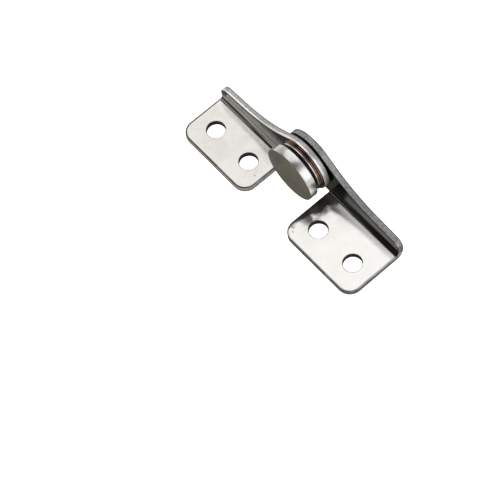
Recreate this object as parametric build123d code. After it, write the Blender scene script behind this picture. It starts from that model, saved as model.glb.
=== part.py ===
from build123d import *
from math import asin, atan2, cos, hypot, radians, sin, tan
import os

# Friction hinge for a small door or lid. Two L-shaped leaves of bent stainless sheet
# turn on one riveted pivot pin. Disc springs under the pin's head clamp a stack of
# friction washers and the two ears together, so the hinge stays where it is put.
#
# Frame, in millimetres: +X runs from leaf A to leaf B, +Y from the plates' free edges
# to the flanges, +Z up. The plates' undersides lie in Z = 0. The origin is under the
# pivot axis and half way across the hinge, which is modelled open flat.

# ---- driving dimensions: sheet and plates ----
sheet = 1.5                # thickness of both leaves
bend_inner_r = 0.6         # inside radius of the bend between plate and flange
plate_length = 20.8        # along X, inner end to outer end
plate_spacing = 11.8       # between the inner ends of the two plates
leaf_b_width = 15.25       # free edge to the outer face of leaf B's flange
plate_corner_r = 3.0       # plan corners on the free edge
edge_break = 0.2           # rounding of every sheared outline

# ---- driving dimensions: screw holes ----
hole_d = 4.1
hole_pitch = 10.5          # between neighbouring holes of a leaf
holes_per_leaf = 2
hole_from_inner_end = 5.1  # inner end of the plate to the first hole
hole_from_free_edge = 5.8
hole_edge_break = 0.05

# ---- driving dimensions: flange, neck and ear ----
pivot_height = 7.7         # underside of the plates to the pivot axis
ear_r = 6.6
flange_end_height = 5.7    # top of the flange at its outer end
flange_slope = 5.0         # degrees, rise of the flange top towards the neck
neck_angle = 35.0          # degrees, slope of the neck that runs up to the ear
neck_blend_r = 26.0        # hollow blend between flange top and neck
flange_corner_r = 2.2      # top outer corner of the flange
ear_root_height = 0.4      # underside of the ear where it leaves the plate's inner end

# ---- driving dimensions: pivot pin ----
head_d = 13.2
head_thickness = 2.0
head_edge_r = 0.2
shank_d = 5.6
shank_flats = 4.4          # across the two flats of the shank
rivet_overhang = 0.65      # of the formed end past the shank, all round, outside ear B
rivet_height = 1.0
rivet_edge_r = 0.35
rivet_recess_d = 2.2       # mark left by the riveting tool
rivet_recess_depth = 0.5

# ---- driving dimensions: spring and friction stack; an inset is from the ears' rim ----
spring_inset = 1.4
spring_thickness = 0.3
spring_cone = 0.1          # dish of one disc spring
pressure_washer_inset = 0.6
pressure_washer_thickness = 0.35
friction_washer_inset = 0.45
friction_washer_thickness = 0.25
brake_disc_inset = 0.9     # steel disc between the two friction washers
brake_disc_thickness = 0.2
ear_washer_inset = 1.0
ear_washer_thickness = 0.35
washer_edge_break = 0.05

# ---- clearances ----
running_clearance = 0.05   # radial, round bores on the shank
key_clearance = 0.03       # keyed bores on the shank, per side
seat_clearance = 0.02      # between a disc spring's rim and what it presses on

# ---- places along the pivot axis, from the riveted end back to the head ----
overall_width = leaf_b_width + rivet_height
free_edge_y = -overall_width / 2
ear_b_outer_y = free_edge_y + leaf_b_width
ear_b_inner_y = ear_b_outer_y - sheet
ear_a_outer_y = ear_b_inner_y - ear_washer_thickness
ear_a_inner_y = ear_a_outer_y - sheet
friction_washer_b_y = ear_a_inner_y - friction_washer_thickness
brake_disc_y = friction_washer_b_y - brake_disc_thickness
friction_washer_a_y = brake_disc_y - friction_washer_thickness
pressure_washer_y = friction_washer_a_y - pressure_washer_thickness
spring_height = spring_thickness + spring_cone
spring_b_y = pressure_washer_y - seat_clearance - spring_height
spring_a_y = spring_b_y - seat_clearance - spring_height
head_back_y = spring_a_y - seat_clearance
head_front_y = head_back_y - head_thickness

# ---- places along X, and other sizes that follow ----
plate_inner_x = plate_spacing / 2
plate_outer_x = plate_inner_x + plate_length
bend_outer_r = bend_inner_r + sheet
round_bore_r = shank_d / 2 + running_clearance
tolerance = 1e-6
on_base = (Align.CENTER, Align.CENTER, Align.MIN)


def along_pivot(shape, start_y):
    """Turn a shape that was drawn up +Z from zero onto the pivot axis, starting at start_y."""
    return Pos(0, start_y, pivot_height) * Rot(-90, 0, 0) * shape


def double_d(diameter, flats, length):
    """Round bar with two flats, which face up and down once it lies on the pivot axis."""
    return extrude(Circle(diameter / 2) & Rectangle(diameter, flats), length)


def keyed_bore(length):
    """Cutter for a bore that turns with the shank."""
    return double_d(shank_d + 2 * key_clearance, shank_flats + 2 * key_clearance, length)


def round_bore(length):
    """Cutter for a bore that runs freely on the shank."""
    return Cylinder(round_bore_r, length, align=on_base)


# ---- leaves ----


def neck_points():
    """Where the neck's straight side meets the ear circle, and where it meets the flange top."""
    neck = radians(neck_angle)
    slope = radians(flange_slope)
    top_x = ear_r * sin(neck)
    top_z = pivot_height + ear_r * cos(neck)
    height_above_end = top_z - flange_end_height
    run = (height_above_end - (plate_outer_x - top_x) * tan(slope)) / (tan(neck) - tan(slope))
    return (top_x, top_z), (top_x + run, top_z - run * tan(neck))


def ear_underside_point():
    """Where the line from the ear's root touches the underside of the ear circle."""
    reach = hypot(plate_inner_x, pivot_height - ear_root_height)
    half_angle = asin(ear_r / reach)
    direction = atan2(pivot_height - ear_root_height, -plate_inner_x) + half_angle
    length = reach * cos(half_angle)
    return plate_inner_x + length * cos(direction), ear_root_height + length * sin(direction)


def side_outline():
    """Outline of flange, neck and ear, seen along the pivot axis, on the +X side."""
    neck_top, knee = neck_points()
    centre = (0, pivot_height)
    outer_top = (plate_outer_x, flange_end_height)
    outer_bottom = (plate_outer_x, 0)
    inner_bottom = (plate_inner_x, 0)
    root = (plate_inner_x, ear_root_height)
    corners = [centre, neck_top, knee, outer_top, outer_bottom, inner_bottom, root, ear_underside_point()]
    outline = make_face(Polyline(*corners, close=True)) + Pos(*centre) * Circle(ear_r)
    outline = fillet(outline.vertices().sort_by_distance(knee)[0], neck_blend_r)
    return fillet(outline.vertices().sort_by_distance(outer_top)[0], flange_corner_r)


def plate(width):
    """Flat plate on the +X side, with its free corners rounded."""
    centre = Pos((plate_inner_x + plate_outer_x) / 2, free_edge_y + width / 2)
    blank = extrude(centre * Rectangle(plate_length, width), sheet)
    free_corners = blank.edges().filter_by(Axis.Z).group_by(Axis.Y)[0]
    return fillet(free_corners, plate_corner_r)


def lengthwise_edge(shape, y, z):
    """The straight edge of a shape that runs along X at y, z."""
    return shape.edges().filter_by(Axis.X).sort_by_distance((plate_inner_x, y, z))[0]


def bend_envelope(outer_face_y):
    """Block whose rounded edge is the outside of the bend, carried on under the ear."""
    low = (-2 * ear_r, free_edge_y - sheet, 0)
    high = (plate_outer_x + ear_r, outer_face_y, pivot_height + 2 * ear_r)
    size = [end - start for start, end in zip(low, high)]
    block = Pos(*low) * Box(*size, align=(Align.MIN, Align.MIN, Align.MIN))
    return fillet(lengthwise_edge(block, outer_face_y, 0), bend_outer_r)


def bent_sheet(outer_face_y):
    """Plate, bend, flange and ear in one piece, with square sheared edges."""
    flange = Pos(0, outer_face_y, 0) * extrude(Plane.XZ * side_outline(), sheet)
    body = plate(outer_face_y - free_edge_y) + flange
    body = fillet(lengthwise_edge(body, outer_face_y - sheet, sheet), bend_inner_r)
    return body & bend_envelope(outer_face_y)


def is_sheared_outline(edge, outer_face_y):
    """True for an outline of the sheet's two skins, away from the bend lines and the ear's root."""
    centre = edge.center()
    straight = edge.geom_type == GeomType.LINE
    across_sheet = straight and abs(edge.length - sheet) < tolerance
    lengthwise = straight and abs((edge % 0.5).X) > 1 - tolerance
    bend_line = lengthwise and centre.Y > free_edge_y + tolerance
    inboard = centre.X < plate_inner_x + tolerance
    ear_root = inboard and centre.Y > outer_face_y - sheet - tolerance and centre.Z < bend_outer_r
    return not (across_sheet or bend_line or ear_root)


def screw_hole_cutter():
    """Cutter for one screw hole, with a small bevel at both faces of the plate."""
    bevel = Cone(hole_d / 2 + hole_edge_break, hole_d / 2, hole_edge_break, align=on_base)
    top_bevel = Pos(0, 0, sheet) * Rot(180, 0, 0) * bevel
    return Cylinder(hole_d / 2, sheet, align=on_base) + bevel + top_bevel


def finished_leaf(outer_face_y, pivot_bore):
    """A leaf on the +X side with rounded outlines, its screw holes and its pivot bore."""
    body = bent_sheet(outer_face_y)
    outline = [edge for edge in body.edges() if is_sheared_outline(edge, outer_face_y)]
    body = fillet(outline, edge_break)
    row_y = free_edge_y + hole_from_free_edge
    first_x = plate_inner_x + hole_from_inner_end
    for index in range(holes_per_leaf):
        body -= Pos(first_x + index * hole_pitch, row_y, 0) * screw_hole_cutter()
    return body - along_pivot(pivot_bore, outer_face_y - sheet)


# ---- pivot pin and the stack on it ----


def round_bar(diameter, length, edge_r, edge_index):
    """Short round bar up +Z with one or both rims rounded: edge_index picks rims from the base up."""
    bar = Cylinder(diameter / 2, length, align=on_base)
    rims = bar.edges().filter_by(GeomType.CIRCLE).sort_by(Axis.Z)[edge_index]
    return fillet(rims, edge_r)


def pivot_pin():
    """Pin with a broad head, a shank with two flats, and an end riveted over ear B."""
    both_rims = slice(None)
    top_rim = slice(-1, None)
    head = round_bar(head_d, head_thickness, head_edge_r, both_rims)
    shank_length = ear_b_outer_y - head_back_y
    shank = Pos(0, 0, head_thickness) * double_d(shank_d, shank_flats, shank_length)
    rivet = round_bar(shank_d + 2 * rivet_overhang, rivet_height, rivet_edge_r, top_rim)
    recess = Cylinder(rivet_recess_d / 2, rivet_recess_depth, align=on_base)
    rivet -= Pos(0, 0, rivet_height - rivet_recess_depth) * recess
    body = head + shank + Pos(0, 0, head_thickness + shank_length) * rivet
    return along_pivot(body, head_front_y)


def washer(inset, thickness, start_y):
    """Flat washer keyed to the shank, with its outer rims rounded."""
    body = round_bar(2 * (ear_r - inset), thickness, washer_edge_break, slice(None))
    return along_pivot(body - keyed_bore(thickness), start_y)


def disc_spring(start_y, dished_towards_head):
    """Disc spring: a shallow cone of spring steel with a round bore."""
    inner_base = spring_cone if dished_towards_head else 0
    outer_base = spring_cone - inner_base
    spring_r = ear_r - spring_inset
    section = Polyline(
        (round_bore_r, 0, inner_base),
        (spring_r, 0, outer_base),
        (spring_r, 0, outer_base + spring_thickness),
        (round_bore_r, 0, inner_base + spring_thickness),
        close=True,
    )
    return along_pivot(revolve(make_face(section), Axis.Z), start_y)


nodes = {
    "leaf_a": mirror(finished_leaf(ear_a_outer_y, round_bore(sheet)), about=Plane.YZ),
    "leaf_b": finished_leaf(ear_b_outer_y, keyed_bore(sheet)),
    "pivot_pin": pivot_pin(),
    "disc_spring_head_side": disc_spring(spring_a_y, dished_towards_head=True),
    "disc_spring_ear_side": disc_spring(spring_b_y, dished_towards_head=False),
    "pressure_washer": washer(pressure_washer_inset, pressure_washer_thickness, pressure_washer_y),
    "friction_washer_outer": washer(friction_washer_inset, friction_washer_thickness, friction_washer_a_y),
    "brake_disc": washer(brake_disc_inset, brake_disc_thickness, brake_disc_y),
    "friction_washer_inner": washer(friction_washer_inset, friction_washer_thickness, friction_washer_b_y),
    "ear_washer": washer(ear_washer_inset, ear_washer_thickness, ear_a_outer_y),
}

os.makedirs("parts", exist_ok=True)
for node_name, node_shape in nodes.items():
    export_step(node_shape, f"parts/{node_name}.step")
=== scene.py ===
"""Looks of a small friction hinge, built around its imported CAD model.

The two bent leaves keep their CAD meshes and get stamped-steel finishes. The pivot
pin and the washer stack are modelled again with their turned and punched detail, and
the studio has a pale floor, two soft boxes and one camera. Everything is in metres.
"""

import logging
import math
from dataclasses import dataclass, field
from enum import Enum
from typing import Any, Callable, Optional, Sequence, Union

import bmesh
import bpy
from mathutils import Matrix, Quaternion, Vector


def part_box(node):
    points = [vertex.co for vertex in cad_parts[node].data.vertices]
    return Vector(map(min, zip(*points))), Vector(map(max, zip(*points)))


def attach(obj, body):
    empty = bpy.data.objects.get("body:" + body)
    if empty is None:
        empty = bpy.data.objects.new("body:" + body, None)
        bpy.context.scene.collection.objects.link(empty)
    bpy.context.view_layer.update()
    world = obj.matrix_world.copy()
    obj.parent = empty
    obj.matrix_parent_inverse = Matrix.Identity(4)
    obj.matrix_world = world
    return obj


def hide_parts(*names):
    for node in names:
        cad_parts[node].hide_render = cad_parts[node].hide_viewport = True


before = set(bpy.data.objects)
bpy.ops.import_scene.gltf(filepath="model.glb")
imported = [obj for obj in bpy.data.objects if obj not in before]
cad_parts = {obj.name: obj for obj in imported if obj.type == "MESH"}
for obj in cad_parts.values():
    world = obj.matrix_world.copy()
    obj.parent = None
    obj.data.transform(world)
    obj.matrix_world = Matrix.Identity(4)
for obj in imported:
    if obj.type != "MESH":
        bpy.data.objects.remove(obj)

LOG = logging.getLogger("hinge")
MM = 0.001
PIVOT_HEIGHT = 7.7 * MM
FINE_RELIEF = 0.003 * MM
MOTTLE_RELIEF = 0.02 * MM
DRAW_RELIEF = 0.05 * MM
TEAR_RELIEF = 0.06 * MM
LATHE_RELIEF = 0.002 * MM
ON_PLACE = 2e-6

Socket = bpy.types.NodeSocket
Value = Union[float, Sequence[float], bpy.types.NodeSocket]
Colour = tuple[float, float, float]


class Slot(Enum):
    """The record's material slots that new pieces take."""

    PIN = "pin_steel"
    SPRING = "spring_steel"
    WASHER = "washer_steel"
    BRONZE = "washer_bronze"


class Body(Enum):
    """The body that the pin and the stack turn with."""

    LEAF_B = "leaf_b_side"


# Node trees


class Graph:
    """A node tree with short calls for the nodes that the finishes use."""

    def __init__(self, tree: bpy.types.NodeTree) -> None:
        """Keeps the tree that the calls add to.

        Args:
            tree: A material's, world's or group's node tree.
        """
        self.tree = tree

    def feed(self, socket: Socket, value: Value) -> None:
        """Links a socket's value, or sets it when it is a constant.

        Args:
            socket: The input to feed.
            value: Another node's output, or a constant.
        """
        if isinstance(value, bpy.types.NodeSocket):
            self.tree.links.new(value, socket)
        else:
            socket.default_value = value

    def add(self, kind: str, inputs: Optional[dict[Any, Value]] = None, **settings: Any) -> bpy.types.Node:
        """Adds a node.

        Args:
            kind: The node's type.
            inputs: Values for its inputs, by name or place.
            **settings: The node's own properties.

        Returns:
            The new node.
        """
        node = self.tree.nodes.new(kind)
        for name, setting in settings.items():
            setattr(node, name, setting)
        for key, value in (inputs or {}).items():
            self.feed(node.inputs[key], value)
        return node

    def math(self, operation: str, a: Value, b: Value = 0.0, clamp: bool = False) -> Socket:
        """Does one step of arithmetic on two values.

        Args:
            operation: The Math node's operation.
            a: First value.
            b: Second value, unused by one-sided operations.
            clamp: Whether the result is held between 0 and 1.

        Returns:
            The result.
        """
        return self.add("ShaderNodeMath", {0: a, 1: b}, operation=operation, use_clamp=clamp).outputs[0]

    def ramp(self, value: Value, low: float, high: float, start: Value = 0.0, end: Value = 1.0) -> Socket:
        """Turns smoothly from one value to another.

        Args:
            value: What is measured.
            low: Where the turn starts.
            high: Where it ends.
            start: Result below low.
            end: Result above high.

        Returns:
            The result.
        """
        inputs = {"Value": value, "From Min": low, "From Max": high, "To Min": start, "To Max": end}
        return self.add("ShaderNodeMapRange", inputs, interpolation_type="SMOOTHSTEP").outputs[0]

    def mix(self, factor: Value, a: Value, b: Value) -> Socket:
        """Mixes two colours.

        Args:
            factor: Share of the second colour.
            a: First colour.
            b: Second colour.

        Returns:
            The mixed colour.
        """
        return self.add("ShaderNodeMix", {0: factor, 6: a, 7: b}, data_type="RGBA").outputs[2]

    def blend(self, factor: Value, a: Value, b: Value) -> Socket:
        """Mixes two numbers.

        Args:
            factor: Share of the second number.
            a: First number.
            b: Second number.

        Returns:
            The mixed number.
        """
        return self.add("ShaderNodeMix", {0: factor, 2: a, 3: b}, data_type="FLOAT").outputs[0]

    def place(self, scale: Sequence[float] = (1.0, 1.0, 1.0)) -> Socket:
        """Gives stretched object coordinates.

        Args:
            scale: Stretch along each axis.

        Returns:
            The coordinates.
        """
        coords = self.add("ShaderNodeTexCoord").outputs["Object"]
        return self.add("ShaderNodeMapping", {"Vector": coords, "Scale": scale}).outputs[0]

    def noise(self, coords: Socket, scale: Value, detail: float = 2.0, roughness: float = 0.5) -> Socket:
        """Samples smooth noise.

        Args:
            coords: Where it is sampled.
            scale: Waves per metre.
            detail: Number of finer layers.
            roughness: Strength of the finer layers.

        Returns:
            A number around 0.5.
        """
        inputs = {"Vector": coords, "Scale": scale, "Detail": detail, "Roughness": roughness}
        return self.add("ShaderNodeTexNoise", inputs, noise_dimensions="3D").outputs["Fac"]

    def split(self, vector: Socket) -> tuple[Socket, Socket, Socket]:
        """Splits a vector into its x, y and z."""
        outputs = self.add("ShaderNodeSeparateXYZ", {0: vector}).outputs
        return outputs[0], outputs[1], outputs[2]

    def bump(
        self, height: Socket, distance: float, strength: float = 1.0, normal: Optional[Socket] = None
    ) -> Socket:
        """Turns a height into a normal.

        Args:
            height: Relief from 0 to 1.
            distance: Height of the relief in metres.
            strength: Share of the relief that is used.
            normal: Normal of a coarser relief under this one.

        Returns:
            The normal.
        """
        node = self.add("ShaderNodeBump", {"Height": height, "Distance": distance, "Strength": strength})
        if normal is not None:
            self.feed(node.inputs["Normal"], normal)
        return node.outputs["Normal"]

    def group(self, effect: bpy.types.NodeTree, **inputs: Value) -> bpy.types.Node:
        """Places a shared effect.

        Args:
            effect: The effect's node group.
            **inputs: Values for its named inputs, with _ for a space.

        Returns:
            The group's node.
        """
        node = self.add("ShaderNodeGroup", node_tree=effect)
        for name, value in inputs.items():
            self.feed(node.inputs[name.replace("_", " ")], value)
        return node


def new_effect(
    name: str, inputs: dict[str, float], outputs: Sequence[str]
) -> tuple[Graph, bpy.types.Node, bpy.types.Node]:
    """Starts a shared shader effect whose inputs and outputs are numbers.

    Args:
        name: The effect's name.
        inputs: Its inputs with their usual values.
        outputs: Its outputs.

    Returns:
        The group's graph, its input node and its output node.
    """
    tree = bpy.data.node_groups.new(name, "ShaderNodeTree")
    for label, usual in inputs.items():
        socket = tree.interface.new_socket(label, in_out="INPUT", socket_type="NodeSocketFloat")
        socket.default_value = usual
    for label in outputs:
        tree.interface.new_socket(label, in_out="OUTPUT", socket_type="NodeSocketFloat")
    graph = Graph(tree)
    return graph, graph.add("NodeGroupInput"), graph.add("NodeGroupOutput")


@dataclass(frozen=True)
class SheetPlan:
    """Sizes of a leaf's plate, the same on both leaves.

    Attributes:
        sheet: Thickness.
        bend_radius: Inside radius of the bend.
        plate_inner_end: From the pivot to the plate's inner end.
        plate_length: Inner end to outer end.
        free_edge: Y of the free edge.
        corner_radius: Radius of the free edge's corners.
        hole_row: Y of the screw holes.
        hole_middle: From the pivot to the middle of the row.
        hole_pitch: Between the two holes.
        hole_radius: Radius of a hole.
        outline_width: Width of the dark line inside the outline.
        lip_width: Width of the dark lip round a hole.
        crease_width: Width of the dark line where plate and bend meet.
        strip_width: Width of the scoured strip of plate next to the bend.
        foot_fade: Height over which the draw lines fade out.
        wall_margin: How far outside its radius a hole's wall still counts as wall.
    """

    sheet: float = 1.5 * MM
    bend_radius: float = 0.6 * MM
    plate_inner_end: float = 5.9 * MM
    plate_length: float = 20.8 * MM
    free_edge: float = -8.125 * MM
    corner_radius: float = 3.0 * MM
    hole_row: float = -2.325 * MM
    hole_middle: float = 16.25 * MM
    hole_pitch: float = 10.5 * MM
    hole_radius: float = 2.05 * MM
    # outline_width: Width of the painted shade line inside the outline.
    outline_width: float = 0.3 * MM
    # lip_width: Width of the painted shade lip round a hole.
    lip_width: float = 0.1 * MM
    # crease_width: Width of the painted shade line where plate and bend meet.
    crease_width: float = 0.22 * MM
    strip_width: float = 2.0 * MM
    foot_fade: float = 1.2 * MM
    wall_margin: float = 0.03 * MM


def rounded_plan(plan: SheetPlan) -> bpy.types.NodeTree:
    """Measures how far a point lies inside a plate's rounded outline, seen from above.

    Args:
        plan: The plate's sizes.

    Returns:
        A group with output Inside, in metres.
    """
    graph, _, made = new_effect("rounded_plan", {}, ("Inside",))
    x, y, _ = graph.split(graph.place())
    half = plan.plate_length / 2
    past_end = graph.math("SUBTRACT", graph.math("ABSOLUTE", x), plan.plate_inner_end + half)
    past_end = graph.math("SUBTRACT", graph.math("ABSOLUTE", past_end), half - plan.corner_radius)
    past_edge = graph.math("SUBTRACT", plan.free_edge + plan.corner_radius, y)
    corner = graph.add(
        "ShaderNodeCombineXYZ",
        {0: graph.math("MAXIMUM", past_end, 0.0), 1: graph.math("MAXIMUM", past_edge, 0.0)},
    )
    outside = graph.add("ShaderNodeVectorMath", {0: corner.outputs[0]}, operation="LENGTH").outputs["Value"]
    short = graph.math("MINIMUM", graph.math("MAXIMUM", past_end, past_edge), 0.0)
    reach = graph.math("ADD", outside, short)
    graph.feed(made.inputs["Inside"], graph.math("SUBTRACT", plan.corner_radius, reach))
    return graph.tree


class Effects:
    """The shader effects that several finishes share."""

    def __init__(self) -> None:
        """Builds each effect once."""
        self.grain = self.rolled_grain()
        self.pits = self.small_pits()
        self.zones = self.sheet_zones()
        self.fracture = self.shear_fracture()
        self.turning = self.turning_marks()

    @staticmethod
    def rolled_grain() -> bpy.types.NodeTree:
        """Makes the mottled, lightly streaked skin of rolled or tumbled metal.

        Returns:
            A group with outputs Mottle, Streak and Fine, each around 0.5.
        """
        graph, given, made = new_effect("rolled_grain", {"Patch Scale": 260.0}, ("Mottle", "Streak", "Fine"))
        coords = graph.place()
        mottle = graph.noise(coords, given.outputs["Patch Scale"], 4.0, 0.62)
        along = graph.place((0.018, 1.0, 1.0))
        graph.feed(made.inputs["Mottle"], mottle)
        graph.feed(made.inputs["Streak"], graph.noise(along, 1700.0, 4.0, 0.6))
        graph.feed(made.inputs["Fine"], graph.noise(coords, 9000.0, 2.0, 0.6))
        return graph.tree

    @staticmethod
    def small_pits() -> bpy.types.NodeTree:
        """Makes scattered small pits, most of them left out at random.

        Returns:
            A group with output Pit, 1 inside a pit.
        """
        graph, given, made = new_effect("small_pits", {"Pit Scale": 700.0, "Share": 0.1}, ("Pit",))
        coords = graph.place()
        cell = graph.add("ShaderNodeTexVoronoi", {"Vector": coords, "Scale": given.outputs["Pit Scale"]})
        inside = graph.ramp(cell.outputs["Distance"], 0.06, 0.2, 1.0, 0.0)
        draw, _, _ = graph.split(cell.outputs["Color"])
        kept = graph.math("LESS_THAN", draw, given.outputs["Share"])
        graph.feed(made.inputs["Pit"], graph.math("MULTIPLY", inside, kept))
        return graph.tree

    @staticmethod
    def sheet_zones() -> bpy.types.NodeTree:
        """Tells a bent leaf's rolled faces, bend, sheared outline and rounded edges apart.

        Returns:
            A group with outputs Sheared, Rounded, Across (0 on the inner skin, 1 on the
            outer skin of the sheet), Foot (the drawn inner side of the bend), Outline (just
            inside the plate's deburred outline), Hole Lip, Hole Wall, Crease (where plate
            and bend meet), Near Bend (the scoured strip of plate next to it) and Inner
            Flange (the flange's inner skin, which takes painted shade).
        """
        plan = SheetPlan()
        outputs = (
            "Sheared", "Rounded", "Across", "Foot", "Outline",
            "Hole Lip", "Hole Wall", "Crease", "Near Bend", "Inner Flange",
        )
        graph, given, made = new_effect("sheet_zones", {"Flange Face": 0.0, "Foot Height": 2.4 * MM}, outputs)
        coords = graph.add("ShaderNodeTexCoord")
        x, y, z = graph.split(coords.outputs["Object"])
        nx, ny, nz = graph.split(coords.outputs["Normal"])
        face = given.outputs["Flange Face"]
        aside = graph.math("ABSOLUTE", x)
        past_plate = graph.math("GREATER_THAN", y, graph.math("SUBTRACT", face, plan.bend_radius))
        low = graph.math("LESS_THAN", z, plan.sheet + plan.bend_radius)
        beside = graph.math("GREATER_THAN", aside, plan.plate_inner_end)
        bend = graph.math("MULTIPLY", graph.math("MULTIPLY", past_plate, low), beside)
        flange = graph.math("MULTIPLY", past_plate, graph.math("SUBTRACT", 1.0, bend))
        round_skin = graph.math("SQRT", graph.math("SUBTRACT", 1.0, graph.math("MULTIPLY", nx, nx), True))
        skin = graph.blend(past_plate, graph.math("ABSOLUTE", nz), graph.math("ABSOLUTE", ny))
        skin = graph.blend(bend, skin, round_skin)
        through_plate = graph.math("SUBTRACT", plan.sheet, z)
        depth = graph.blend(flange, through_plate, graph.math("SUBTRACT", y, face))
        edge = graph.math("MULTIPLY", graph.ramp(skin, 0.12, 0.4), graph.ramp(skin, 0.9, 0.995, 1.0, 0.0))
        graph.feed(made.inputs["Sheared"], graph.ramp(skin, 0.3, 0.7, 1.0, 0.0))
        graph.feed(made.inputs["Rounded"], edge)
        graph.feed(made.inputs["Across"], graph.math("DIVIDE", depth, plan.sheet))
        inner = graph.math("MULTIPLY", graph.math("LESS_THAN", ny, -0.04), past_plate)
        above = graph.math("SUBTRACT", z, given.outputs["Foot Height"])
        foot = graph.math("MULTIPLY", inner, graph.ramp(above, 0.0, plan.foot_fade, 1.0, 0.0))
        graph.feed(made.inputs["Foot"], graph.math("MULTIPLY", foot, beside))
        graph.feed(made.inputs["Inner Flange"], inner)
        plate = graph.math("SUBTRACT", 1.0, past_plate)
        inside = graph.group(rounded_plan(plan)).outputs["Inside"]
        fade = graph.ramp(inside, plan.outline_width, 1.7 * plan.outline_width, 1.0, 0.0)
        graph.feed(made.inputs["Outline"], graph.math("MULTIPLY", fade, plate))
        across_row = graph.math("SUBTRACT", y, plan.hole_row)
        from_middle = graph.math("ABSOLUTE", graph.math("SUBTRACT", aside, plan.hole_middle))
        along_row = graph.math("SUBTRACT", from_middle, plan.hole_pitch / 2)
        spot = graph.add("ShaderNodeCombineXYZ", {0: along_row, 1: across_row})
        radius = graph.add("ShaderNodeVectorMath", {0: spot.outputs[0]}, operation="LENGTH").outputs["Value"]
        lip_start = plan.hole_radius + plan.lip_width
        lip_end = plan.hole_radius + 1.4 * plan.lip_width
        lip = graph.ramp(radius, lip_start, lip_end, 1.0, 0.0)
        graph.feed(made.inputs["Hole Lip"], graph.math("MULTIPLY", lip, plate))
        from_bend = graph.math("SUBTRACT", graph.math("SUBTRACT", face, plan.bend_radius), y)
        upper = graph.math("MULTIPLY", graph.math("GREATER_THAN", z, plan.sheet / 2), beside)
        off_line = graph.math("ABSOLUTE", from_bend)
        on_line = graph.ramp(off_line, plan.crease_width / 2, plan.crease_width, 1.0, 0.0)
        graph.feed(made.inputs["Crease"], graph.math("MULTIPLY", on_line, upper))
        strip = graph.math("MULTIPLY", graph.ramp(from_bend, 0.0, plan.strip_width, 1.0, 0.0), plate)
        graph.feed(made.inputs["Near Bend"], graph.math("MULTIPLY", strip, upper))
        wall = graph.math("LESS_THAN", radius, plan.hole_radius + plan.wall_margin)
        graph.feed(made.inputs["Hole Wall"], graph.math("MULTIPLY", wall, plate))
        return graph.tree

    @staticmethod
    def shear_fracture() -> bpy.types.NodeTree:
        """Makes the torn, speckled skin of a sheared edge, with its smoother burnished band.

        Returns:
            A group with outputs Tear (relief and shade), and Burnish (1 in the band).
        """
        graph, given, made = new_effect("shear_fracture", {"Across": 0.5, "Band": 0.3}, ("Tear", "Burnish"))
        coords = graph.place()
        wander = graph.noise(coords, 900.0, 2.0)
        drift = graph.math("MULTIPLY", graph.math("SUBTRACT", wander, 0.5), 0.35)
        limit = graph.math("ADD", given.outputs["Band"], drift)
        past = graph.math("SUBTRACT", given.outputs["Across"], limit)
        speck = graph.noise(coords, 6500.0, 3.0, 0.7)
        scrape = graph.noise(graph.place((1.0, 0.2, 0.8)), 7000.0, 2.0, 0.6)
        graph.feed(made.inputs["Tear"], graph.blend(0.35, speck, scrape))
        graph.feed(made.inputs["Burnish"], graph.ramp(past, -0.06, 0.06, 1.0, 0.0))
        return graph.tree

    @staticmethod
    def turning_marks() -> bpy.types.NodeTree:
        """Makes lathe marks around the pivot axis: rings on flat faces, lines round a rim.

        Returns:
            A group with outputs Ring (relief), Hatch (streaks along the axis on a rim) and
            Rim (1 on a rim, 0 on a face).
        """
        inputs = {"Ring Scale": 4000.0, "Hatch Scale": 60.0}
        graph, given, made = new_effect("turning_marks", inputs, ("Ring", "Hatch", "Rim"))
        coords = graph.add("ShaderNodeTexCoord")
        x, y, z = graph.split(coords.outputs["Object"])
        _, ny, _ = graph.split(coords.outputs["Normal"])
        up = graph.math("SUBTRACT", z, PIVOT_HEIGHT)
        squares = graph.math("ADD", graph.math("MULTIPLY", x, x), graph.math("MULTIPLY", up, up))
        radius = graph.math("SQRT", squares)
        rim = graph.ramp(graph.math("ABSOLUTE", ny), 0.3, 0.7, 1.0, 0.0)
        along = graph.blend(rim, radius, y)
        line = graph.add("ShaderNodeCombineXYZ", {0: along})
        ring = graph.noise(line.outputs[0], given.outputs["Ring Scale"], 3.0, 0.65)
        angle = graph.math("ARCTAN2", up, x)
        turn = graph.add("ShaderNodeCombineXYZ", {0: angle, 1: graph.math("MULTIPLY", y, 5.0)})
        hatch = graph.noise(turn.outputs[0], given.outputs["Hatch Scale"], 3.0, 0.6)
        graph.feed(made.inputs["Ring"], ring)
        graph.feed(made.inputs["Hatch"], hatch)
        graph.feed(made.inputs["Rim"], rim)
        return graph.tree


# Finishes


def opaque(colour: Colour) -> tuple[float, float, float, float]:
    """Adds full opacity to a colour."""
    return (*colour, 1.0)


@dataclass(frozen=True)
class Finish:
    """What every metal finish has.

    Attributes:
        name: The material's name.
        tone: Colour of the clean metal.
        roughness: Roughness of the clean metal.
    """

    name: str
    tone: Colour
    roughness: float

    def start(self) -> tuple[bpy.types.Material, Graph, bpy.types.Node]:
        """Makes a metal material.

        Returns:
            The material, its graph and its shader.
        """
        material = bpy.data.materials.new(self.name)
        material.use_nodes = True
        graph = Graph(material.node_tree)
        shader = material.node_tree.nodes["Principled BSDF"]
        shader.inputs["Metallic"].default_value = 1.0
        return material, graph, shader


@dataclass(frozen=True)
class DarkReflectionShape:
    """Outline of the painted dark reflection on leaf B's plate, next to the pivot.

    Attributes:
        narrow_y: Y where it is narrowest.
        wide_y: Y where it is widest.
        narrow: Its reach from the plate's inner end where it is narrowest.
        wide: Its reach where it is widest.
        wander: How far its edge wanders.
        fade_in: How far inside that edge it starts to fade.
        fade_out: How far outside it has faded.
    """

    narrow_y: float = SheetPlan.hole_row - 2.5 * MM
    wide_y: float = SheetPlan.hole_row + 6.5 * MM
    narrow: float = 0.2 * MM
    wide: float = 3.4 * MM
    wander: float = 9.0 * MM
    fade_in: float = 0.9 * MM
    fade_out: float = 0.7 * MM


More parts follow.
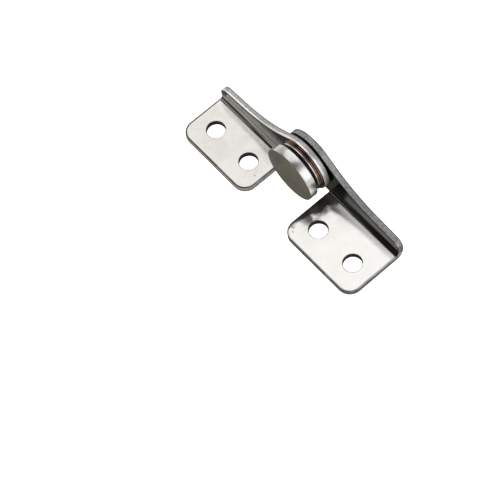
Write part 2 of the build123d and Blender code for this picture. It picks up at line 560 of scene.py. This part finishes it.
@dataclass(frozen=True)
class LeafSteel(Finish):
    """Bent stainless sheet: mottled rolled faces, drawn bend, torn outline, painted shade on its edges.

    Attributes:
        flange_face: Y of the flange's inner face.
        dull_tone: Colour of the duller patches of the rolled faces.
        edge_shade_and_pit_tone: Colour of the painted shade on the rounded edges, the outline, the hole lips
            and the crease, and of the pits.
        tear_tone: Colour of the torn part of the outline.
        tear_dark: Colour of the torn part's hollows.
        draw_tone: Colour of the ridges of the draw lines in the bend.
        draw_dark: Colour between the draw lines.
        foot_height: How high up the flange the draw lines reach.
        burnish_band: Share of the sheet's thickness that the shear left smooth.
        painted_flange_shade_tone: Colour of the painted shade on the flange's inner skin above the draw
            lines.
        shade: How strongly that painted shade covers the skin.
        scour: How far the draw lines turn matt.
        hole_shade_tone: Colour of the painted shade on the holes' walls.
        outline_shade_strength: How dark the painted shade line inside the plate's outline is.
        strip_tone: Colour of the scoured strip of plate next to the bend.
        dark_reflection_strength: Strength of the painted dark reflection on the plate next to the pivot.
        dark_reflection_tone: Colour of that painted dark reflection.
    """

    flange_face: float
    dull_tone: Colour
    edge_shade_and_pit_tone: Colour
    tear_tone: Colour
    tear_dark: Colour
    draw_tone: Colour
    draw_dark: Colour
    foot_height: float
    burnish_band: float
    painted_flange_shade_tone: Colour = (0.3, 0.29, 0.275)
    shade: float = 0.8
    scour: float = 0.22
    hole_shade_tone: Colour = (0.02, 0.018, 0.016)
    outline_shade_strength: float = 1.0
    strip_tone: Colour = (0.95, 0.93, 0.9)
    dark_reflection_strength: float = 0.0
    dark_reflection_tone: Colour = (0.1, 0.098, 0.095)

    def painted_dark_reflection(self, graph: Graph, mottle: Socket) -> Socket:
        """Masks the painted dark reflection on the plate's inner end, next to the pivot.

        Args:
            graph: The material's graph.
            mottle: Noise that breaks up the reflection's edge.

        Returns:
            1 in the painted reflection, 0 outside it.
        """
        plan, reflection_patch = SheetPlan(), DarkReflectionShape()
        x, y, z = graph.split(graph.place())
        from_end = graph.math("SUBTRACT", graph.math("ABSOLUTE", x), plan.plate_inner_end)
        reach = graph.ramp(y, reflection_patch.narrow_y, reflection_patch.wide_y, reflection_patch.narrow, reflection_patch.wide)
        wander = graph.math("MULTIPLY", graph.math("SUBTRACT", mottle, 0.5), reflection_patch.wander)
        past = graph.math("SUBTRACT", from_end, graph.math("ADD", reach, wander))
        off_top = graph.math("ABSOLUTE", graph.math("SUBTRACT", z, plan.sheet))
        on_top = graph.math("LESS_THAN", off_top, plan.bend_radius / 2)
        on_top = graph.math("MULTIPLY", on_top, graph.math("LESS_THAN", y, self.flange_face))
        covered = graph.ramp(past, -reflection_patch.fade_in, reflection_patch.fade_out, 1.0, 0.0)
        return graph.math("MULTIPLY", covered, on_top)

    def make(self, effects: Effects) -> bpy.types.Material:
        """Builds the material.

        Args:
            effects: The shared effects.

        Returns:
            The material.
        """
        material, graph, shader = self.start()
        grain = graph.group(effects.grain, Patch_Scale=240.0).outputs
        pit = graph.group(effects.pits, Pit_Scale=520.0, Share=0.07).outputs["Pit"]
        zones = graph.group(effects.zones, Flange_Face=self.flange_face, Foot_Height=self.foot_height).outputs
        tear = graph.group(effects.fracture, Across=zones["Across"], Band=self.burnish_band).outputs

        patch = graph.ramp(grain["Mottle"], 0.36, 0.68)
        rolled = graph.mix(patch, opaque(self.tone), opaque(self.dull_tone))
        rolled = graph.mix(graph.math("MULTIPLY", pit, 0.55), rolled, opaque(self.edge_shade_and_pit_tone))
        rolled = graph.mix(graph.math("MULTIPLY", zones["Near Bend"], 0.8), rolled, opaque(self.strip_tone))
        streak = graph.ramp(grain["Streak"], 0.44, 0.6)
        drawn = graph.mix(streak, opaque(self.draw_dark), opaque(self.draw_tone))
        # Painted dark reflection on leaf B's plate, next to the pivot.
        reflection_patch = self.painted_dark_reflection(graph, grain["Mottle"])
        rolled = graph.mix(graph.math("MULTIPLY", reflection_patch, self.dark_reflection_strength), rolled, opaque(self.dark_reflection_tone))
        # Painted shade on the flange's inner skin above the draw lines.
        flange_shade_mask = graph.math("MULTIPLY", zones["Inner Flange"], self.shade)
        rolled = graph.mix(flange_shade_mask, rolled, opaque(self.painted_flange_shade_tone))
        colour = graph.mix(zones["Foot"], rolled, drawn)
        # Painted shade lines on the rounded edges, inside the outline, round the holes and in the crease,
        # patchy with the mottle.
        edge_shade_patchiness = graph.ramp(grain["Mottle"], 0.3, 0.6, 0.75, 1.0)
        outline_shade = graph.math("MULTIPLY", zones["Outline"], self.outline_shade_strength)
        line = graph.math("MAXIMUM", outline_shade, graph.math("MAXIMUM", zones["Hole Lip"], zones["Rounded"]))
        line = graph.math("MAXIMUM", line, graph.math("MULTIPLY", zones["Crease"], 0.85))
        colour = graph.mix(graph.math("MULTIPLY", line, edge_shade_patchiness), colour, opaque(self.edge_shade_and_pit_tone))
        ridge = graph.ramp(tear["Tear"], 0.42, 0.6)
        torn = graph.mix(ridge, opaque(self.tear_dark), opaque(self.tear_tone))
        # Painted edge shade darkens the torn edge towards the outer skin.
        torn = graph.mix(graph.ramp(zones["Across"], 0.7, 0.95, 0.0, 0.75), torn, opaque(self.edge_shade_and_pit_tone))
        outline = graph.mix(tear["Burnish"], torn, opaque(self.tone))
        # Painted shade on the holes' walls, broken by painted glints where the tear is high.
        glint = graph.ramp(tear["Tear"], 0.56, 0.66, 0.97, 0.2)
        wall_shade = graph.math("MULTIPLY", zones["Hole Wall"], glint)
        outline = graph.mix(wall_shade, outline, opaque(self.hole_shade_tone))
        colour = graph.mix(zones["Sheared"], colour, outline)
        graph.feed(shader.inputs["Base Color"], colour)
        drawn_matt = graph.math("MULTIPLY", zones["Foot"], graph.ramp(streak, 0.0, 1.0, 0.4, 1.0))
        strip_matt = graph.math("MULTIPLY", zones["Near Bend"], 0.75)
        drawn_part = graph.math("MULTIPLY", drawn_matt, self.scour)
        scoured = graph.math("MAXIMUM", drawn_part, strip_matt)
        torn_part = graph.math("MULTIPLY", zones["Sheared"], graph.math("SUBTRACT", 1.0, tear["Burnish"]))
        rubbed = graph.math("MULTIPLY", zones["Sheared"], graph.math("MULTIPLY", tear["Burnish"], 0.35))
        matt = graph.math("MAXIMUM", scoured, rubbed)
        matt = graph.math("MAXIMUM", matt, graph.math("MULTIPLY", torn_part, 0.3))
        graph.feed(shader.inputs["Metallic"], graph.math("SUBTRACT", 1.0, matt))

        uneven = graph.math("MULTIPLY", graph.math("SUBTRACT", patch, 0.5), 0.05)
        smooth = graph.math("ADD", self.roughness, uneven)
        smooth = graph.blend(graph.math("MULTIPLY", reflection_patch, self.dark_reflection_strength), smooth, 0.34)
        smooth = graph.blend(zones["Near Bend"], smooth, 0.38)
        rough = graph.blend(zones["Foot"], smooth, graph.ramp(streak, 0.0, 1.0, 0.5, 0.34))
        torn_rough = graph.blend(tear["Burnish"], 0.34, 0.22)
        rough = graph.blend(zones["Sheared"], rough, torn_rough)
        graph.feed(shader.inputs["Roughness"], rough)

        waves = graph.bump(grain["Mottle"], MOTTLE_RELIEF, 0.5)
        drawn_relief = graph.math("MULTIPLY", grain["Streak"], zones["Foot"])
        lines = graph.bump(drawn_relief, DRAW_RELIEF, 0.9, waves)
        pitted = graph.math("ADD", grain["Fine"], graph.math("MULTIPLY", pit, -1.5))
        skin = graph.bump(pitted, FINE_RELIEF, 0.5, lines)
        rip = graph.math("MULTIPLY", tear["Tear"], torn_part)
        graph.feed(shader.inputs["Normal"], graph.bump(rip, TEAR_RELIEF, 0.9, skin))
        return material


@dataclass(frozen=True)
class TurnedSteel(Finish):
    """Turned or punched round metal: lathe rings, hatched rims, mottled faces.

    Attributes:
        worn_tone: Colour of its duller patches.
        face_tone: Colour of the flat faces.
        ring_depth: Height of the lathe marks in metres.
        hatch: Strength of the streaks across a rim.
        face_roughness: Roughness of the flat faces.
    """

    worn_tone: Colour
    face_tone: Colour
    ring_depth: float = LATHE_RELIEF
    hatch: float = 0.3
    face_roughness: float = 0.3

    def make(self, effects: Effects) -> bpy.types.Material:
        """Builds the material.

        Args:
            effects: The shared effects.

        Returns:
            The material.
        """
        material, graph, shader = self.start()
        grain = graph.group(effects.grain, Patch_Scale=420.0).outputs
        pit = graph.group(effects.pits, Pit_Scale=900.0, Share=0.06).outputs["Pit"]
        marks = graph.group(effects.turning).outputs
        patch = graph.ramp(grain["Mottle"], 0.4, 0.66)
        hatch = graph.ramp(marks["Hatch"], 0.38, 0.66)
        rim = graph.mix(graph.math("MULTIPLY", hatch, self.hatch), opaque(self.tone), opaque(self.worn_tone))
        face = graph.mix(patch, opaque(self.face_tone), opaque(self.worn_tone))
        colour = graph.mix(marks["Rim"], face, rim)
        colour = graph.mix(graph.math("MULTIPLY", pit, 0.5), colour, opaque(self.worn_tone))
        graph.feed(shader.inputs["Base Color"], colour)
        wear = graph.math("MULTIPLY", graph.math("SUBTRACT", hatch, 0.5), 0.1)
        round_rough = graph.math("ADD", self.roughness, wear)
        graph.feed(shader.inputs["Roughness"], graph.blend(marks["Rim"], self.face_roughness, round_rough))
        skin = graph.bump(grain["Fine"], FINE_RELIEF, 0.5)
        rings = graph.bump(marks["Ring"], self.ring_depth, 0.8, skin)
        graph.feed(shader.inputs["Normal"], rings)
        return material


@dataclass(frozen=True)
class Floor:
    """Pale matt floor. Gloss on the hinge sees it dim close by and pale further off.

    Attributes:
        tone: Its colour.
        near_tone: What gloss sees under the hinge.
        far_tone: What gloss sees further off.
        near: Distance from the hinge where the dim part ends.
        far: Distance where the pale part starts.
        glow: Light that fills its shadows.
    """

    tone: Colour = (0.9, 0.9, 0.9)
    near_tone: Colour = (0.11, 0.1, 0.08)
    far_tone: Colour = (0.75, 0.75, 0.72)
    near: float = 0.035
    far: float = 0.16
    glow: float = 0.5

    def make(self) -> bpy.types.Material:
        """Builds the material."""
        material = bpy.data.materials.new("floor_paper")
        material.use_nodes = True
        graph = Graph(material.node_tree)
        shader = material.node_tree.nodes["Principled BSDF"]
        shader.inputs["Roughness"].default_value = 0.9
        shader.inputs["Specular IOR Level"].default_value = 0.0
        coords = graph.place()
        distance = graph.add("ShaderNodeVectorMath", {0: coords}, operation="LENGTH").outputs["Value"]
        away = graph.ramp(distance, self.near, self.far)
        seen_by_gloss = graph.mix(away, opaque(self.near_tone), opaque(self.far_tone))
        light_path = graph.add("ShaderNodeLightPath").outputs
        colour = graph.mix(light_path["Is Glossy Ray"], opaque(self.tone), seen_by_gloss)
        fibre = graph.ramp(graph.noise(coords, 700.0, 2.0), 0.3, 0.7, 0.985, 1.0)
        graph.feed(shader.inputs["Base Color"], graph.mix(fibre, opaque((0.0, 0.0, 0.0)), colour))
        shader.inputs["Emission Color"].default_value = opaque(self.tone)
        glow = graph.math("MULTIPLY", light_path["Is Camera Ray"], self.glow)
        graph.feed(shader.inputs["Emission Strength"], glow)
        return material


# Modelling


PairTest = Callable[[Vector, Vector], bool]


def from_axis(point: Vector) -> float:
    """Distance of a point from the pivot axis."""
    return math.hypot(point.x, point.z - PIVOT_HEIGHT)


class Workpiece:
    """A mesh being shaped on the bench, with its place in its vertices."""

    def __init__(self, name: str, radius: float, y_from: float, y_to: float, sides: int = 160) -> None:
        """Starts with a round bar along the pivot axis, open in edit mode.

        Args:
            name: The piece's name.
            radius: Radius of the bar.
            y_from: Where the bar starts along the axis.
            y_to: Where it ends.
            sides: Number of facets round it.
        """
        bpy.ops.object.select_all(action="DESELECT")
        bpy.ops.mesh.primitive_cylinder_add(
            vertices=sides,
            radius=radius,
            depth=y_to - y_from,
            end_fill_type="NGON",
            location=(0.0, (y_from + y_to) / 2, PIVOT_HEIGHT),
            rotation=(math.radians(90.0), 0.0, 0.0),
        )
        self.object = bpy.context.object
        self.object.name = name
        self.object.data.name = name
        bpy.ops.object.transform_apply(location=True, rotation=True, scale=True)
        bpy.ops.object.mode_set(mode="EDIT")
        bpy.ops.mesh.select_all(action="DESELECT")

    def pick_faces(self, test: PairTest) -> None:
        """Selects the faces that pass a test, and nothing else.

        Args:
            test: Takes a face's centre and normal.
        """
        bpy.ops.mesh.select_mode(type="FACE")
        mesh = bmesh.from_edit_mesh(self.object.data)
        for face in mesh.faces:
            face.select_set(test(face.calc_center_median(), face.normal))
        mesh.select_flush_mode()
        bmesh.update_edit_mesh(self.object.data)

    def pick_edges(self, test: PairTest) -> None:
        """Selects the edges that pass a test, and nothing else.

        Args:
            test: Takes an edge's two ends.
        """
        bpy.ops.mesh.select_mode(type="EDGE")
        mesh = bmesh.from_edit_mesh(self.object.data)
        for edge in mesh.edges:
            edge.select_set(test(edge.verts[0].co, edge.verts[1].co))
        mesh.select_flush_mode()
        bmesh.update_edit_mesh(self.object.data)

    def pick_end(self, y: float) -> None:
        """Selects the flat end of the bar that lies at a place along the axis."""
        def on_end(centre: Vector, normal: Vector) -> bool:
            """Tells whether a face is the flat end."""
            return abs(normal.y) > 0.9 and abs(centre.y - y) < 1e-6 and from_axis(centre) < 1e-5

        self.pick_faces(on_end)

    def pick_ring(self, radius: float, y: float) -> None:
        """Selects the round edge with a radius and a place along the axis.

        Args:
            radius: Radius of the edge.
            y: Its place along the axis.
        """
        def on_ring(a: Vector, b: Vector) -> bool:
            """Tells whether both ends of an edge lie on the ring."""
            return all(abs(from_axis(p) - radius) < ON_PLACE and abs(p.y - y) < ON_PLACE for p in (a, b))

        self.pick_edges(on_ring)

    def inset(self, thickness: float, depth: float = 0.0) -> None:
        """Insets what is selected, and sinks it when depth is negative."""
        bpy.ops.mesh.inset(thickness=thickness, depth=depth, use_boundary=True)

    def grow(self, length: float) -> None:
        """Extrudes what is selected along the pivot axis."""
        bpy.ops.mesh.extrude_region_move(TRANSFORM_OT_translate={"value": (0.0, length, 0.0)})

    def round_ring(self, radius: float, y: float, offset: float, steps: int) -> None:
        """Rounds one round edge.

        Args:
            radius: Radius of the edge.
            y: Its place along the axis.
            offset: How far the rounding reaches.
            steps: Number of facets across it.
        """
        self.pick_ring(radius, y)
        bpy.ops.mesh.bevel(offset=offset, segments=steps, affect="EDGES", clamp_overlap=True)

    def done(self, smooth_angle: float = 32.0) -> bpy.types.Object:
        """Leaves edit mode, merges doubles, points faces outwards and shades the piece.

        Args:
            smooth_angle: Edges sharper than this, in degrees, stay sharp.

        Returns:
            The finished object.
        """
        bpy.ops.mesh.select_all(action="SELECT")
        bpy.ops.mesh.remove_doubles(threshold=1e-7)
        bpy.ops.mesh.normals_make_consistent(inside=False)
        bpy.ops.object.mode_set(mode="OBJECT")
        bpy.ops.object.shade_smooth_by_angle(angle=math.radians(smooth_angle))
        return self.object


def dress(piece: bpy.types.Object, material: bpy.types.Material) -> None:
    """Gives a piece one material in all its slots.

    Args:
        piece: The piece or CAD node.
        material: Its material.
    """
    if not piece.material_slots:
        piece.data.materials.append(material)
    for material_slot in piece.material_slots:
        material_slot.material = material


def hand_over(
    piece: bpy.types.Object, node: str, body: Body, material: bpy.types.Material
) -> None:
    """Puts a new piece in a CAD node's place.

    Args:
        piece: The new piece.
        node: The CAD node that it stands for.
        body: The body that it rides on.
        material: Its material.
    """
    dress(piece, material)
    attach(piece, body.value)
    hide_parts(node)
    LOG.info("%s stands for %s with %d faces", piece.name, node, len(piece.data.polygons))


# Sub-assemblies


@dataclass
class Leaf:
    """One bent leaf. Its CAD mesh stays, and gets the finish of stamped sheet.

    Attributes:
        node: Name of its CAD node.
        finish: Its finish.
    """

    node: str
    finish: LeafSteel

    def build(self, effects: Effects) -> None:
        """Dresses the leaf.

        Args:
            effects: The shared effects.
        """
        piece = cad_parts[self.node]
        dress(piece, self.finish.make(effects))
        LOG.info("%s keeps its CAD mesh in %s", self.node, self.finish.name)


@dataclass
class PivotPin:
    """The riveted pin: a turned head, a shank and an end swaged over leaf B's ear.

    Attributes:
        finish: Its finish.
        head_radius: Radius of the head.
        head_thickness: Its thickness.
        head_edge: Rounding of the head's two rims.
        shank_radius: Radius of the shank.
        rivet_radius: Radius of the swaged end.
        rivet_height: How far it stands off the ear.
        rivet_edge: Rounding of its rim.
        recess_radius: Radius of the tool's mark in the swaged end.
        recess_depth: Its depth.
    """

    finish: TurnedSteel
    head_radius: float = 6.6 * MM
    head_thickness: float = 2.0 * MM
    head_edge: float = 0.1 * MM
    shank_radius: float = 2.8 * MM
    rivet_radius: float = 3.45 * MM
    rivet_height: float = 1.0 * MM
    rivet_edge: float = 0.35 * MM
    recess_radius: float = 1.1 * MM
    recess_depth: float = 0.5 * MM

    def build(self, effects: Effects) -> None:
        """Models the pin and puts it in its CAD node's place.

        Args:
            effects: The shared effects.
        """
        low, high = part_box("pivot_pin")
        front, back = low.y, low.y + self.head_thickness
        ear = high.y - self.rivet_height
        work = Workpiece("turned_pivot_pin", self.head_radius, front, back)
        work.pick_end(back)
        work.inset(self.head_radius - self.shank_radius)
        work.grow(ear - back)
        bpy.ops.mesh.extrude_region_move(TRANSFORM_OT_translate={"value": (0.0, 0.0, 0.0)})
        spread = self.rivet_radius / self.shank_radius
        bpy.ops.transform.resize(value=(spread,) * 3, center_override=(0.0, ear, PIVOT_HEIGHT))
        work.grow(self.rivet_height)
        work.inset(self.rivet_radius - self.recess_radius)
        work.inset(0.0)
        work.grow(-self.recess_depth)
        work.round_ring(self.recess_radius, high.y, 0.12 * MM, 2)
        work.round_ring(self.rivet_radius, high.y, self.rivet_edge, 5)
        work.round_ring(self.head_radius, front, self.head_edge, 4)
        work.round_ring(self.head_radius, back, self.head_edge, 4)
        hand_over(work.done(), "pivot_pin", Body.LEAF_B, self.finish.make(effects))


@dataclass(frozen=True)
class Washer:
    """One flat ring of the stack.

    Attributes:
        node: The CAD node that it stands for.
        name: The piece's own name.
        slot: The record's slot of its finish.
        rim: Rounding of its outer rim.
    """

    node: str
    name: str
    slot: Slot
    rim: float


@dataclass
class WasherStack:
    """The springs and washers between the pin's head and leaf B's ear.

    Attributes:
        finishes: The finish of each slot.
        bore_radius: Radius of every bore.
        washers: The rings from the head to leaf B's ear.
    """

    finishes: dict[str, TurnedSteel]
    bore_radius: float = 2.85 * MM
    washers: tuple[Washer, ...] = field(
        default_factory=lambda: (
            Washer("pressure_washer", "pressure_ring", Slot.WASHER, 0.13 * MM),
            Washer("friction_washer_outer", "friction_ring_outer", Slot.BRONZE, 0.2 * MM),
            Washer("brake_disc", "brake_ring", Slot.WASHER, 0.05 * MM),
            Washer("friction_washer_inner", "friction_ring_inner", Slot.BRONZE, 0.2 * MM),
            Washer("ear_washer", "ear_ring", Slot.BRONZE, 0.1 * MM),
        )
    )

    def ring(self, washer: Washer) -> bpy.types.Object:
        """Models one ring: a disc whose middle is opened and walled, with rounded rims.

        Args:
            washer: What is modelled.

        Returns:
            The finished ring.
        """
        low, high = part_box(washer.node)
        radius = (high.x - low.x) / 2
        bore = self.bore_radius
        work = Workpiece(washer.name, radius, low.y, high.y)
        work.pick_faces(lambda centre, normal: abs(normal.y) > 0.9)
        work.inset(radius - bore)
        bpy.ops.mesh.delete(type="FACE")
        ends = (low.y, high.y)

        def on_bore(point: Vector) -> bool:
            """Tells whether a point lies on either edge of the bore."""
            at_end = min(abs(point.y - end) for end in ends) < ON_PLACE
            return at_end and abs(from_axis(point) - bore) < ON_PLACE

        work.pick_edges(lambda a, b: on_bore(a) and on_bore(b))
        bpy.ops.mesh.bridge_edge_loops()
        for end in ends:
            work.round_ring(radius, end, washer.rim, 3)
        return work.done()

    def build(self, effects: Effects) -> None:
        """Models every ring and puts it in its CAD node's place.

        Args:
            effects: The shared effects.
        """
        materials = {name: finish.make(effects) for name, finish in self.finishes.items()}
        for washer in self.washers:
            material = materials.get(washer.node) or materials[washer.slot.value]
            hand_over(self.ring(washer), washer.node, Body.LEAF_B, material)
        for node in ("disc_spring_head_side", "disc_spring_ear_side"):
            dress(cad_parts[node], materials[Slot.SPRING.value])
            LOG.info("%s keeps its CAD mesh", node)


# Studio


@dataclass(frozen=True)
class SoftBox:
    """A soft box light.

    Attributes:
        name: Its name.
        direction: From the hinge towards the light.
        size: Its width and height.
        radiance: How bright its face is.
        tint: Its colour.
        distance: How far it is from the hinge.
    """

    name: str
    direction: tuple[float, float, float]
    size: tuple[float, float]
    radiance: float
    tint: Colour = (1.0, 1.0, 1.0)
    distance: float = 1.0

    def build(self) -> None:
        """Hangs the light, facing the hinge and hidden from the camera."""
        towards = Vector(self.direction).normalized()
        light = bpy.data.lights.new(self.name, "AREA")
        light.shape = "RECTANGLE"
        light.size, light.size_y = self.size
        light.color = self.tint
        light.energy = self.radiance * math.pi * self.size[0] * self.size[1]
        holder = bpy.data.objects.new(self.name, light)
        bpy.context.scene.collection.objects.link(holder)
        holder.location = towards * self.distance
        holder.rotation_mode = "QUATERNION"
        holder.rotation_quaternion = (-towards).to_track_quat("-Z", "Y")
        holder.visible_camera = False


@dataclass
class Studio:
    """Floor, lights, world and camera.

    Attributes:
        azimuth: The camera's turn round the hinge in degrees.
        elevation: Its height over the floor in degrees.
        roll: Its roll in degrees.
        aim: The point that the camera looks at.
        distance: From that point to the camera.
        lens: Focal length in millimetres on a sensor 36 mm wide.
        floor_drop: How far the floor lies under the plates.
        dark_towards: Middle of the dark part of the surround that gloss sees.
        surround_tone: What gloss sees of the pale part.
        overhead_tone: What gloss sees of the dark part.
        boxes: The soft boxes.
    """

    azimuth: float = 57.99
    elevation: float = 63.88
    roll: float = -10.18
    aim: tuple[float, float, float] = (1.02 * MM, -15.37 * MM, 0.0)
    distance: float = 0.4466
    lens: float = 161.0
    floor_drop: float = 21.0 * MM
    dark_towards: tuple[float, float, float] = (-0.3, -0.35, 0.89)
    surround_tone: Colour = (0.6, 0.6, 0.58)
    overhead_tone: Colour = (0.03, 0.03, 0.033)
    boxes: tuple[SoftBox, ...] = (
        SoftBox("top_box", (-0.42, 0.42, 0.85), (0.9, 0.9), 1.1),
        SoftBox("side_box", (0.85, 0.3, 0.5), (0.5, 0.8), 1.1, (0.95, 0.945, 1.0)),
    )

    def lay_floor(self) -> None:
        """Lays the floor, low enough for leaf B to swing down to its limit over it."""
        bpy.ops.object.select_all(action="DESELECT")
        bpy.ops.mesh.primitive_plane_add(size=4.0, location=(0.0, 0.0, -self.floor_drop))
        floor = bpy.context.object
        floor.name = "floor"
        dress(floor, Floor().make())

    def paint_world(self) -> None:
        """Makes a white surround that gloss sees dark overhead and pale all round."""
        world = bpy.data.worlds.new("surround")
        bpy.context.scene.world = world
        world.use_nodes = True
        world.node_tree.nodes.clear()
        graph = Graph(world.node_tree)
        coords = graph.add("ShaderNodeTexCoord").outputs["Generated"]
        overhead = Vector(self.dark_towards).normalized()
        facing = graph.add("ShaderNodeVectorMath", {0: coords, 1: overhead}, operation="DOT_PRODUCT")
        shade = graph.ramp(facing.outputs["Value"], 0.45, 0.8)
        seen_by_gloss = graph.mix(shade, opaque(self.surround_tone), opaque(self.overhead_tone))
        plain = graph.add("ShaderNodeBackground", {"Color": (1.0, 1.0, 1.0, 1.0), "Strength": 1.15})
        glossy = graph.add("ShaderNodeBackground", {"Color": seen_by_gloss, "Strength": 1.0})
        light_path = graph.add("ShaderNodeLightPath").outputs
        shaders = {0: light_path["Is Glossy Ray"], 1: plain.outputs[0], 2: glossy.outputs[0]}
        chosen = graph.add("ShaderNodeMixShader", shaders)
        graph.add("ShaderNodeOutputWorld", {"Surface": chosen.outputs[0]})

    def set_camera(self) -> None:
        """Places the camera."""
        turn, rise = math.radians(self.azimuth), math.radians(self.elevation)
        back = Vector((math.sin(turn) * math.cos(rise), -math.cos(turn) * math.cos(rise), math.sin(rise)))
        camera = bpy.data.cameras.new("camera")
        camera.lens = self.lens
        camera.sensor_width = 36.0
        camera.clip_start = 0.01
        holder = bpy.data.objects.new("camera", camera)
        bpy.context.scene.collection.objects.link(holder)
        holder.location = Vector(self.aim) + back * self.distance
        holder.rotation_mode = "QUATERNION"
        level = (-back).to_track_quat("-Z", "Y")
        holder.rotation_quaternion = level @ Quaternion((0.0, 0.0, 1.0), math.radians(self.roll))
        bpy.context.scene.camera = holder

    def build(self) -> None:
        """Builds the whole studio."""
        bpy.context.scene.view_settings.view_transform = "Standard"
        self.set_camera()
        self.lay_floor()
        self.paint_world()
        for box in self.boxes:
            box.build()


PIN_TURNED = TurnedSteel(
    name="pin_turned",
    tone=(0.68, 0.675, 0.665),
    roughness=0.27,
    worn_tone=(0.5, 0.5, 0.475),
    face_tone=(0.58, 0.555, 0.49),
    face_roughness=0.4,
)
WASHER_BRIGHT = TurnedSteel(
    name="washer_bright",
    tone=(0.85, 0.84, 0.82),
    roughness=0.16,
    worn_tone=(0.5, 0.48, 0.45),
    face_tone=(0.6, 0.6, 0.58),
)
# The steel brake disc is painted near black, as painted shade in the gap between the copper rings.
BRAKE_PAINTED_SHADE = TurnedSteel(
    name="brake_painted_shade",
    tone=(0.03, 0.028, 0.026),
    roughness=0.4,
    worn_tone=(0.02, 0.02, 0.02),
    face_tone=(0.03, 0.03, 0.03),
)
# The copper rings' flat faces are painted dark brown as painted shade; their rims keep the copper's colour.
WASHER_COPPER = TurnedSteel(
    name="washer_copper",
    tone=(0.56, 0.33, 0.265),
    roughness=0.24,
    worn_tone=(0.2, 0.1, 0.075),
    face_tone=(0.1, 0.05, 0.038),
    hatch=0.5,
)
# The bronze ear washer is painted near black, as painted shade in the gap between the ears.
EAR_WASHER_PAINTED_SHADE = TurnedSteel(
    name="ear_washer_painted_shade",
    tone=(0.03, 0.024, 0.02),
    roughness=0.5,
    worn_tone=(0.02, 0.016, 0.014),
    face_tone=(0.04, 0.03, 0.025),
    hatch=0.5,
)
SPRING_DARK = TurnedSteel(
    name="spring_dark",
    tone=(0.035, 0.035, 0.035),
    roughness=0.4,
    worn_tone=(0.02, 0.02, 0.02),
    face_tone=(0.03, 0.03, 0.03),
)
STACK_FINISHES = {
    Slot.WASHER.value: WASHER_BRIGHT,
    "brake_disc": BRAKE_PAINTED_SHADE,
    Slot.BRONZE.value: WASHER_COPPER,
    "ear_washer": EAR_WASHER_PAINTED_SHADE,
    Slot.SPRING.value: SPRING_DARK,
}


def leaf_finishes() -> dict[str, LeafSteel]:
    """Gives each leaf its finish, with the place of its flange taken from its CAD box.

    Returns:
        The finishes by node.
    """
    sheet = SheetPlan().sheet
    leaf_a = LeafSteel(
        name="leaf_a_sheet",
        tone=(0.735, 0.71, 0.675),
        roughness=0.15,
        flange_face=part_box("leaf_a")[1].y - sheet,
        dull_tone=(0.665, 0.64, 0.605),
        edge_shade_and_pit_tone=(0.045, 0.042, 0.038),
        tear_tone=(0.56, 0.55, 0.545),
        tear_dark=(0.24, 0.236, 0.232),
        draw_tone=(0.85, 0.83, 0.78),
        draw_dark=(0.04, 0.038, 0.034),
        foot_height=3.3 * MM,
        burnish_band=0.4,
    )
    leaf_b = LeafSteel(
        name="leaf_b_sheet",
        tone=(0.84, 0.82, 0.79),
        roughness=0.15,
        flange_face=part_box("leaf_b")[1].y - sheet,
        dull_tone=(0.79, 0.77, 0.74),
        edge_shade_and_pit_tone=(0.05, 0.048, 0.046),
        tear_tone=(0.42, 0.415, 0.41),
        tear_dark=(0.11, 0.108, 0.106),
        draw_tone=(0.5, 0.49, 0.46),
        draw_dark=(0.02, 0.019, 0.018),
        foot_height=1.5 * MM,
        burnish_band=0.06,
        # Leaf B's flange takes near-black painted shade.
        painted_flange_shade_tone=(0.06, 0.057, 0.053),
        shade=0.95,
        scour=0.1,
        outline_shade_strength=0.5,
        # Leaf B's plate takes a painted dark reflection next to the pivot.
        dark_reflection_strength=0.95,
        dark_reflection_tone=(0.045, 0.044, 0.042),
    )
    return {"leaf_a": leaf_a, "leaf_b": leaf_b}


def main() -> None:
    """Builds the hinge's looks."""
    logging.basicConfig(level=logging.INFO, format="%(name)s: %(message)s")
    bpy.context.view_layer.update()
    effects = Effects()
    Studio().build()

    for node, finish in leaf_finishes().items():
        Leaf(node, finish).build(effects)
    PivotPin(PIN_TURNED).build(effects)
    WasherStack(STACK_FINISHES).build(effects)


if __name__ == "__main__":
    main()
